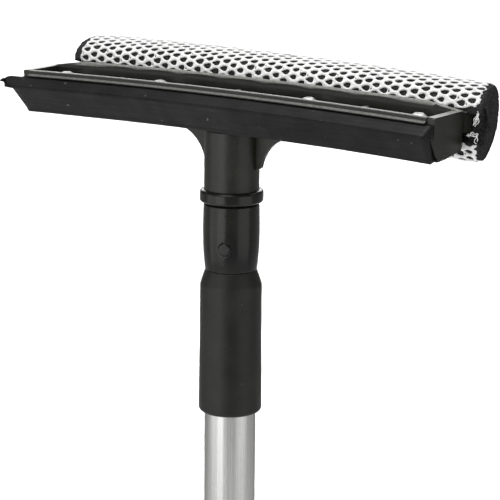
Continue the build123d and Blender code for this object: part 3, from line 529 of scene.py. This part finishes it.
# =====================================================================================
# Rubber strip
# =====================================================================================
def make_rubber():
    """The squeegee strip: flat spine, pointed nose, skirt with a thick lip; its left end sticks out."""
    mm_outline = [
        (3.2, 9.4), (3.2, 11.1), (-12.9, 11.1), (-12.9, 12.8), (-13.3, 13.1), (-14.0, 12.8),
        (-18.6, 9.7), (-18.95, 9.1), (-18.7, 8.4), (-13.1, -0.5), (-12.8, -1.6), (-12.4, -2.2), (-11.9, -2.3),
        (-8.6, -1.5), (-8.6, -0.7), (-10.3, 0.0), (-14.6, 6.0), (-14.4, 6.8), (-12.7, 7.8), (-12.7, 9.4),
    ]
    radii = [
        0.2, 0.2, 0.15, 0.2, 0.3, 0.5, 0.6, 0.5, 0.6, 0.6,
        0.3, 0.3, 0.3, 0.5, 0.3, 1.2, 0.8, 0.6, 0.3, 0.2,
    ]
    corners = rounded(mm_outline, radii, 3)
    outline = []
    for a, b in zip(corners, corners[1:] + corners[:1]):
        parts = max(1, round((b - a).length / 0.5))
        outline += [a.lerp(b, k / parts) * MM for k in range(parts)]
    stations = spread(-HALF, HALF, 83)
    rubber_out = 11.0 * MM

    def shift(x, y, h):
        # the ends are cut on the slant: the lip is shorter than the spine at both ends
        low = max(0.0, min(1.0, (6.6 * MM - h) / (8.9 * MM)))
        near_left = max(0.0, 1.0 - (x + HALF) / (14 * MM))
        near_right = max(0.0, 1.0 - (HALF - x) / (9 * MM))
        # the left end of the spine and nose runs out to a torn point
        high = max(0.0, min(1.0, (h - 8.2 * MM) / (3.0 * MM))) ** 1.25
        high *= 1.0 - 0.35 * max(0.0, (h - 11.2 * MM) / (1.9 * MM))
        high *= 1.0 + 0.22 * noise.noise(Vector((h * 2300.0, y * 800.0, 4.0)))
        hook = math.exp(-(((h - 8.9 * MM) / (0.45 * MM)) ** 2)) * (y < -17.0 * MM)
        high += 0.38 * hook
        ridge = math.exp(-(((h - 8.2 * MM) / (3.4 * MM)) ** 2)) * (y < -14.6 * MM)
        dx = near_left * (2.0 * MM * low - rubber_out * high)
        # the spine stops at the right end wall
        spine = (y > -12.8 * MM) * (h > 8.9 * MM)
        dx -= near_right * (0.6 * MM * ridge + 1.0 * MM * low + 3.4 * MM * spine)
        # slight waviness of the free lip
        wave = noise.noise(Vector((x * 16.0, 0.3, 1.7))) * 0.35 * MM * low
        return dx, wave, wave * 0.4

    mesh = sweep(outline, stations, "squeegee_rubber", shift)
    add_piece("squeegee_rubber", mesh, "head", RUBBER, ["blade_rubber"])


# =====================================================================================
# Screws of the clamp strip
# =====================================================================================
SCREWS = (-88.5 * MM, -37.5 * MM, 37.5 * MM, 88.5 * MM)
SCREW_SEAT = 12.3 * MM
SCREW_HEAD_R = 3.5 * MM
SCREW_DOME_H = 2.1 * MM
SCREW_R = 1.5 * MM
SCREW_FOOT = 1.4 * MM


def make_screws():
    """Domed heads with a cross recess, on plain shanks; each is turned to its own angle."""
    points, faces = [], []
    rings, sides = 26, 72
    for k, x in enumerate(SCREWS):
        turn = 0.5 + 1.3 * k
        start = len(points)

        def put(radius, angle, h):
            points.append(bend(x + radius * math.cos(angle), radius * math.sin(angle), h))

        for i in range(rings + 1):
            radius = SCREW_HEAD_R * (1 - i / (rings + 0.5))
            for j in range(sides):
                angle = 2 * math.pi * j / sides
                a = radius * math.cos(angle + turn)
                b = radius * math.sin(angle + turn)
                share = radius / SCREW_HEAD_R
                h = SCREW_DOME_H * (1 - share**2.6) ** 0.72 if share < 1 else 0.0
                arm = min(max(abs(a), abs(b)), 1.7 * MM) < 1.65 * MM and min(abs(a), abs(b)) < 0.36 * MM
                h -= 0.9 * MM * arm * (1 - 0.4 * share)
                put(radius, angle, SCREW_SEAT + 0.3 * MM + h)
        rim = start
        for h in (SCREW_SEAT + 0.1 * MM, SCREW_SEAT):
            below = len(points)
            inset = 0.0 if h > SCREW_SEAT else 0.12 * MM
            for j in range(sides):
                put(SCREW_HEAD_R - inset, 2 * math.pi * j / sides, h)
            for j in range(sides):
                m = (j + 1) % sides
                faces.append((below + j, below + m, rim + m, rim + j))
            rim = below
        chamfer = 0.3 * MM
        shank = ((SCREW_R, SCREW_SEAT), (SCREW_R, SCREW_FOOT + chamfer), (SCREW_R - chamfer, SCREW_FOOT))
        for radius, h in shank:
            below = len(points)
            for j in range(sides):
                put(radius, 2 * math.pi * j / sides, h)
            for j in range(sides):
                m = (j + 1) % sides
                faces.append((below + j, below + m, rim + m, rim + j))
            rim = below
        faces.append(tuple(rim + j for j in reversed(range(sides))))
        for i in range(rings):
            for j in range(sides):
                m = (j + 1) % sides
                a = start + i * sides
                faces.append((a + j, a + m, a + sides + m, a + sides + j))
        faces.append(tuple(start + rings * sides + j for j in range(sides)))
    mesh = mesh_from("domed_screws", points, faces)
    add_piece("domed_screws", mesh, "head", SCREW_STEEL, ["clamp_screws"])


# =====================================================================================
# Spring of the lock button
# =====================================================================================
SPRING_WIRE_R = 0.3 * MM
SPRING_TURNS = 7
SPRING_CLOSED = 0.66 * MM             # pitch of the closed turn at each end


def make_spring():
    """The coil spring behind the lock button, with a closed turn at each end."""
    joint = next(j for j in frame["joints"] if j["name"] == "button_press")
    press = Vector(joint["axis"]).normalized()
    up = Vector((0, 0, 1))
    aside = press.cross(up)
    node = NODES["button_spring"]
    reach = [(node.matrix_world @ v.co).dot(press) for v in node.data.vertices]
    free, foot = min(reach), max(reach)
    low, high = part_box("button_spring")
    middle = up * (low.z + high.z) / 2
    coil_r = (high.z - low.z) / 2 - SPRING_WIRE_R
    travel = foot - free - 2 * SPRING_WIRE_R
    pitch = (travel - 2 * SPRING_CLOSED) / (SPRING_TURNS - 2)
    steps, sides = 28, 10
    points, faces = [], []
    for k in range(SPRING_TURNS * steps + 1):
        turns = k / steps
        closed = min(turns, 1.0) + max(0.0, turns - SPRING_TURNS + 1)
        along = closed * SPRING_CLOSED + (turns - closed) * pitch
        radial = aside * math.cos(2 * math.pi * turns) + up * math.sin(2 * math.pi * turns)
        centre = middle + press * (free + SPRING_WIRE_R + along) + radial * coil_r
        for j in range(sides):
            a = 2 * math.pi * j / sides
            points.append(centre + (radial * math.cos(a) + press * math.sin(a)) * SPRING_WIRE_R)
    last = SPRING_TURNS * steps * sides
    for first in range(0, last, sides):
        for j in range(sides):
            a, b = first + j, first + (j + 1) % sides
            faces.append((a, b, b + sides, a + sides))
    faces.append(tuple(reversed(range(sides))))
    faces.append(tuple(last + j for j in range(sides)))
    mesh = mesh_from("press_spring", points, faces)
    spring = add_piece("press_spring", mesh, "upper_pole", STEEL, ["button_spring"])
    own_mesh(spring)


# =====================================================================================
# Sponge and net
# =====================================================================================
FRONT, REAR = 11.4 * MM, 38.0 * MM
REAR_H = 16.0 * MM
BACK = (37.2 * MM, 7.0 * MM)          # the back turns under here
UNDER = (31.2 * MM, 1.2 * MM)
FOOT_Y = 19.5 * MM                    # and runs out into the flat underside here
END_SLANT = 0.25                      # the right end is cut on the slant, shorter towards the back
NOSE_LEN, NOSE_RISE = 16.0 * MM, 7.6 * MM
CREST = FRONT + NOSE_LEN
NOTCH = 15.6 * MM
NOTCH_LOW, NOTCH_HIGH = 4.2 * MM, 18.4 * MM
TUCK, TUCK_IN = 1.8 * MM, 0.2 * MM    # the net's front edge goes down behind the rail
SPONGE_X0, SPONGE_X1 = -93.5 * MM, 110.0 * MM
FOAM_FILL = 0.985                     # the foam lies just inside the net's path


def arc_points(a, via, b, n):
    """Points of the arc through three (y, h) points, without its first."""
    a, via, b = Vector(a), Vector(via), Vector(b)
    d = 2 * (a.x * (via.y - b.y) + via.x * (b.y - a.y) + b.x * (a.y - via.y))
    sq = [v.length_squared for v in (a, via, b)]
    cx = (sq[0] * (via.y - b.y) + sq[1] * (b.y - a.y) + sq[2] * (a.y - via.y)) / d
    cy = (sq[0] * (b.x - via.x) + sq[1] * (a.x - b.x) + sq[2] * (via.x - a.x)) / d
    centre = Vector((cx, cy))
    r = (a - centre).length
    angles = [math.atan2(p.y - cy, p.x - cx) for p in (a, via, b)]
    turn = (angles[2] - angles[0]) % (2 * math.pi)
    if (angles[1] - angles[0]) % (2 * math.pi) > turn:
        turn -= 2 * math.pi
    steps = [angles[0] + turn * k / n for k in range(1, n + 1)]
    return [centre + Vector((math.cos(t), math.sin(t))) * r for t in steps]


def wrap_path():
    """The net's path round the sponge, from the top of the backing strip over the back to its foot."""
    path = [Vector((FRONT - TUCK_IN, NOTCH_HIGH - TUCK)), Vector((FRONT - TUCK_IN, NOTCH_HIGH + 0.6 * MM))]
    for k in range(1, 13):
        a = math.radians(90.0 * k / 12)
        path.append(Vector((CREST - NOSE_LEN * math.cos(a), HIGH - NOSE_RISE * (1 - math.sin(a)))))
    path += arc_points(path[-1], (REAR, REAR_H), BACK, 26)
    path += arc_points(BACK, UNDER, (FOOT_Y, LOW), 16)
    path += [Vector((FRONT + 5.0 * MM, LOW)), Vector((FRONT + 1.9 * MM, LOW + 2.6 * MM))]
    path += [Vector((FRONT + 1.7 * MM, 1.6 * MM)), Vector((FRONT, 3.2 * MM))]
    path.append(Vector((FRONT + 1.2 * MM, NOTCH_LOW)))
    return path


def slant(x, y):
    """How far the right end's slanted cut draws a point back towards the left."""
    near = max(0.0, 1.0 - (SPONGE_X1 - x) / (40 * MM))
    return near * END_SLANT * max(0.0, y - FRONT)


def resample(path, step):
    lengths = [0.0]
    for a, b in zip(path, path[1:]):
        lengths.append(lengths[-1] + (b - a).length)
    total = lengths[-1]
    n = max(2, int(round(total / step)))
    out, k = [], 0
    for i in range(n + 1):
        s = total * i / n
        while k < len(path) - 2 and lengths[k + 1] < s:
            k += 1
        t = (s - lengths[k]) / (lengths[k + 1] - lengths[k])
        out.append(path[k].lerp(path[k + 1], t))
    return out, total


def smooth_path(points, rounds):
    """Evens an open path's corners, keeping its ends."""
    for _ in range(rounds):
        points = [points[0]] + [
            (points[i - 1] + points[i] * 2 + points[i + 1]) / 4 for i in range(1, len(points) - 1)
        ] + [points[-1]]
    return points


def make_foam():
    """Black open-cell foam: a lofted block whose ends are torn and ragged."""
    wrap, _ = resample(wrap_path(), 0.9 * MM)
    wrap = smooth_path(wrap, 3)
    # the front face round the backing strip closes the section
    face_y = NOTCH + 0.8 * MM
    front = [Vector((face_y, NOTCH_LOW + 0.2 * MM)), Vector((face_y, NOTCH_HIGH - 0.2 * MM))]
    section = wrap + front
    n = len(section)
    centre = Vector((24.0 * MM, 12.5 * MM))
    stations = spread(SPONGE_X0, SPONGE_X1, 190)
    points, faces = [], []
    for k, x in enumerate(stations):
        for i, v in enumerate(section):
            p = centre + (v - centre) * FOAM_FILL
            lump = noise.fractal(Vector((x * 120, v.x * 120, v.y * 120)), 0.8, 2.0, 4)
            cell = noise.noise(Vector((x * 900, v.x * 900, v.y * 900)))
            # the rim of each end is notched
            at_end = max(0.0, 1.0 - min(k, len(stations) - 1 - k) / 3.0)
            notch = 0.55 * at_end * noise.noise(Vector((v.x * 2300, v.y * 2300, x * 700)))
            inward = (centre - v).normalized() * (0.25 * MM * (lump + cell) + abs(notch) * MM)
            points.append(sponge_bend(x - slant(x, p.x), p.x + inward.x, p.y + inward.y))
    for k in range(len(stations) - 1):
        for i in range(n):
            j = (i + 1) % n
            faces.append((k * n + i, k * n + j, (k + 1) * n + j, (k + 1) * n + i))
    # ragged end faces: rings that shrink to the middle, pushed in and out
    for end, x, sign in ((0, SPONGE_X0, -1), (len(stations) - 1, SPONGE_X1, 1)):
        rim = [end * n + i for i in range(n)]
        rings = 24
        for r in range(1, rings):
            t = 1 - r / rings
            ring = []
            for i, v in enumerate(section):
                p = centre + (v - centre) * FOAM_FILL * t
                tear = noise.fractal(Vector((p.x * 260, p.y * 260, 7.0 + sign)), 0.7, 2.1, 5)
                pit = noise.noise(Vector((p.x * 1400, p.y * 1400, sign * 3.0)))
                out = (tear * 1.1 + pit * 0.6) * MM * min(1.0, 3 * r / rings)
                ring.append(len(points))
                along = x + sign * (min(out, 0.6 * MM) - 0.7 * MM)
                points.append(sponge_bend(along - slant(x, p.x), p.x, p.y))
            for i in range(n):
                j = (i + 1) % n
                quad = (rim[i], rim[j], ring[j], ring[i])
                faces.append(quad if sign > 0 else quad[::-1])
            rim = ring
        tip = len(points)
        points.append(sponge_bend(x - sign * 0.8 * MM - slant(x, centre.x), centre.x, centre.y))
        for i in range(n):
            j = (i + 1) % n
            tri = (rim[i], rim[j], tip)
            faces.append(tri if sign > 0 else tri[::-1])
    mesh = mesh_from("foam_block", points, faces)
    foam = add_piece("foam_block", mesh, "head", FOAM, ["sponge_core"])


NET_PITCH = 8.7 * MM
NET_ROW = 1.78 * MM
NET_STEP = 0.36 * MM
STRAND_T = 0.55 * MM
EDGE_RUN, EDGE_LIFT = 24.0 * MM, 3.8 * MM     # the front edge rises over this length, by this much


def make_net():
    """Knitted nylon net: rounded strands round six-sided holes, with a small slit beside each hole."""
    path, length = resample(wrap_path(), NET_STEP)
    path = smooth_path(path, 6)
    x0, x1 = SPONGE_X0 + 2.6 * MM, SPONGE_X1 - 0.6 * MM
    nu = int((x1 - x0) / NET_STEP)
    nv = len(path)
    u = np.linspace(x0, x1, nu)
    v = np.linspace(0.0, length, nv)
    U, V = np.meshgrid(u, v, indexing="ij")
    rng = np.random.default_rng(11)
    rows = int(length / NET_ROW) + 3
    cols = int((x1 - x0) / NET_PITCH) + 3
    jitter = rng.normal(0.0, 1.0, (cols, rows, 3)) * np.array([0.14, 0.10, 0.06])

    def strand(U, V):
        """Distance in metres from the nearest hole's edge; negative inside a hole."""
        best = np.full(U.shape, 1.0)
        j0 = np.floor(V / NET_ROW).astype(int)
        for dj in (-1, 0, 1, 2):
            j = np.clip(j0 + dj, 0, rows - 1)
            stagger = (j % 2) * 0.5 * NET_PITCH
            i0 = np.round((U - x0 - stagger) / NET_PITCH).astype(int)
            for di in (-1, 0, 1):
                i = np.clip(i0 + di, 0, cols - 1)
                g = jitter[i, j]
                cu = x0 + stagger + i * NET_PITCH + g[..., 0] * MM
                cv = j * NET_ROW + g[..., 1] * MM
                du, dv = (U - cu) / MM, (V - cv) / MM
                size = 1.0 + g[..., 2]
                # the hole narrows towards the left, so its half height falls off there
                half_w = np.where(du < 0, 2.05, 1.5) * size
                half_h = 1.1 * size
                power = np.where(du < 0, 1.2, 2.4)
                a, b = np.abs(du) / half_w, np.abs(dv) / half_h
                norm = (a**power + b**power) ** (1 / power)
                best = np.minimum(best, (norm - 1.0) * 1.35 * MM)
                slit_u, slit_v = (du - 2.3) / 0.24, dv / 0.5
                slit = np.sqrt(slit_u**2 + slit_v**2)
                best = np.minimum(best, (slit - 1.0) * 0.3 * MM)
        return best

    # ragged ends: the net is cut a little unevenly, and its right end follows the foam's slant
    depth = np.array([p.x for p in path])
    cut_back = END_SLANT * np.maximum(0.0, depth - FRONT)
    tear = np.array([noise.noise(Vector((float(s) * 420, 3.1, 0.0))) for s in v]) * 1.6 * MM + 1.0 * MM

    def field(U, V):
        f = strand(U, V)
        edge = np.minimum(U - x0, x1 - np.interp(V, v, cut_back) - U) - np.interp(V, v, tear)
        # the front edge rides up off the rail towards the right end
        near = np.clip((U - x1 + EDGE_RUN) / EDGE_RUN, 0.0, 1.0)
        edge = np.minimum(edge, V + NET_STEP - EDGE_LIFT * near**1.5)
        return np.minimum(f, edge)

    F = field(U, V)
    inside = F > 0
    kept = (inside[:-1, :-1].astype(int) + inside[1:, :-1] + inside[:-1, 1:] + inside[1:, 1:]) >= 2
    used = np.zeros(F.shape, bool)
    for a, b in ((0, 0), (1, 0), (0, 1), (1, 1)):
        used[a:nu - 1 + a, b:nv - 1 + b] |= kept
    # loose corners are drawn on to the holes' outlines
    eps = 0.02 * MM
    for _ in range(4):
        F = field(U, V)
        gu = (field(U + eps, V) - field(U - eps, V)) / (2 * eps)
        gv = (field(U, V + eps) - field(U, V - eps)) / (2 * eps)
        g2 = np.maximum(gu**2 + gv**2, 0.05)
        move = used & (F < 0.0)
        step = np.where(move, -F / g2, 0.0)
        U = U + np.clip(step * gu, -0.25 * MM, 0.25 * MM)
        V = V + np.clip(step * gv, -0.25 * MM, 0.25 * MM)
    F = np.maximum(field(U, V), 0.0)
    # vertices at the rim of the kept region have no thickness
    pad = np.zeros((nu + 1, nv + 1), int)
    pad[1:-1, 1:-1] = kept
    full = (pad[:-1, :-1] + pad[1:, :-1] + pad[:-1, 1:] + pad[1:, 1:]) == 4
    rise = STRAND_T * np.sqrt(np.clip(F / (0.55 * MM), 0.0, 1.0))
    rise = np.where(full, np.maximum(rise, 0.12 * MM), 0.0)

    px = np.array([p.x for p in path])
    py = np.array([p.y for p in path])
    tx, ty = np.gradient(px), np.gradient(py)
    tl = np.hypot(tx, ty)
    # outward is to the left of the path's direction over the back of the sponge
    ox, oy = -ty / tl, tx / tl
    base_y = np.interp(V, v, px)
    base_h = np.interp(V, v, py)
    out_y, out_h = np.interp(V, v, ox), np.interp(V, v, oy)
    points, faces, index = [], [], {}

    def vertex(i, j, side):
        key = (i, j, side if full[i, j] else 0)
        if key not in index:
            lift = 0.25 * MM + (rise[i, j] if key[2] > 0 else -0.35 * rise[i, j] if key[2] < 0 else 0.0)
            index[key] = len(points)
            y = base_y[i, j] + out_y[i, j] * lift
            points.append(sponge_bend(U[i, j], y, base_h[i, j] + out_h[i, j] * lift))
        return index[key]

    for i, j in zip(*np.nonzero(kept)):
        ring = ((i, j), (i + 1, j), (i + 1, j + 1), (i, j + 1))
        top = [vertex(a, b, 1) for a, b in ring]
        low = [vertex(a, b, -1) for a, b in ring]
        faces.append(tuple(top))
        if top != low:
            faces.append(tuple(reversed(low)))
    mesh = mesh_from("net_sleeve", points, faces)
    net = add_piece("net_sleeve", mesh, "head", NET, ["net_cover"])


YARN_R = 0.17 * MM
YARN_STEPS = 14


def make_loose_yarn():
    """Frayed ends of the net's yarn, hanging in front of the foam at its right end."""
    rng = np.random.default_rng(5)
    points, faces = [], []
    sides = 6
    # each bundle: start and end (x, h) of its strands, their spread and their number
    bundles = (
        ((108.4, 17.4), (107.4, 13.0), 0.9, 6),
        ((104.2, 8.1), (108.6, 8.9), 0.4, 3),
        ((108.9, 9.4), (108.8, 6.0), 0.3, 2),
    )
    for (xa, ha), (xb, hb), loose, count in bundles:
        for _ in range(count):
            start = Vector((xa, 10.9, ha)) + Vector(rng.normal(0, 0.5 * loose, 3) * (1, 0.3, 1))
            end = Vector((xb, 10.7, hb)) + Vector(rng.normal(0, loose, 3) * (1, 0.3, 1))
            seed = float(rng.uniform(0, 50))
            line = []
            for k in range(YARN_STEPS + 1):
                t = k / YARN_STEPS
                across, out, down = (noise.noise(Vector((t * 3, seed, n))) for n in (0, 9, 5))
                sway = Vector((across, 0.25 * out, down))
                p = start.lerp(end, t) + sway * 1.5 * min(1.0, 4 * t)
                line.append(sponge_bend(p.x * MM, min(p.y, 11.0) * MM, p.z * MM))
            first = len(points)
            for k, p in enumerate(line):
                along = (line[min(k + 1, YARN_STEPS)] - line[max(k - 1, 0)]).normalized()
                side = along.cross(Vector((0, 1, 0))).normalized()
                other = along.cross(side)
                radius = YARN_R * (0.55 if k in (0, YARN_STEPS) else 1.0)
                for j in range(sides):
                    a = 2 * math.pi * j / sides
                    points.append(p + (side * math.cos(a) + other * math.sin(a)) * radius)
            for k in range(YARN_STEPS):
                for j in range(sides):
                    a, b = first + k * sides + j, first + k * sides + (j + 1) % sides
                    faces.append((a, b, b + sides, a + sides))
            faces.append(tuple(first + j for j in reversed(range(sides))))
            faces.append(tuple(first + YARN_STEPS * sides + j for j in range(sides)))
    mesh = mesh_from("loose_yarn", points, faces)
    add_piece("loose_yarn", mesh, "head", NET)


toward = make_camera()
make_stage(toward)
dress_cad_nodes()
make_rubber()
make_screws()
make_spring()
make_foam()
make_net()
make_loose_yarn()
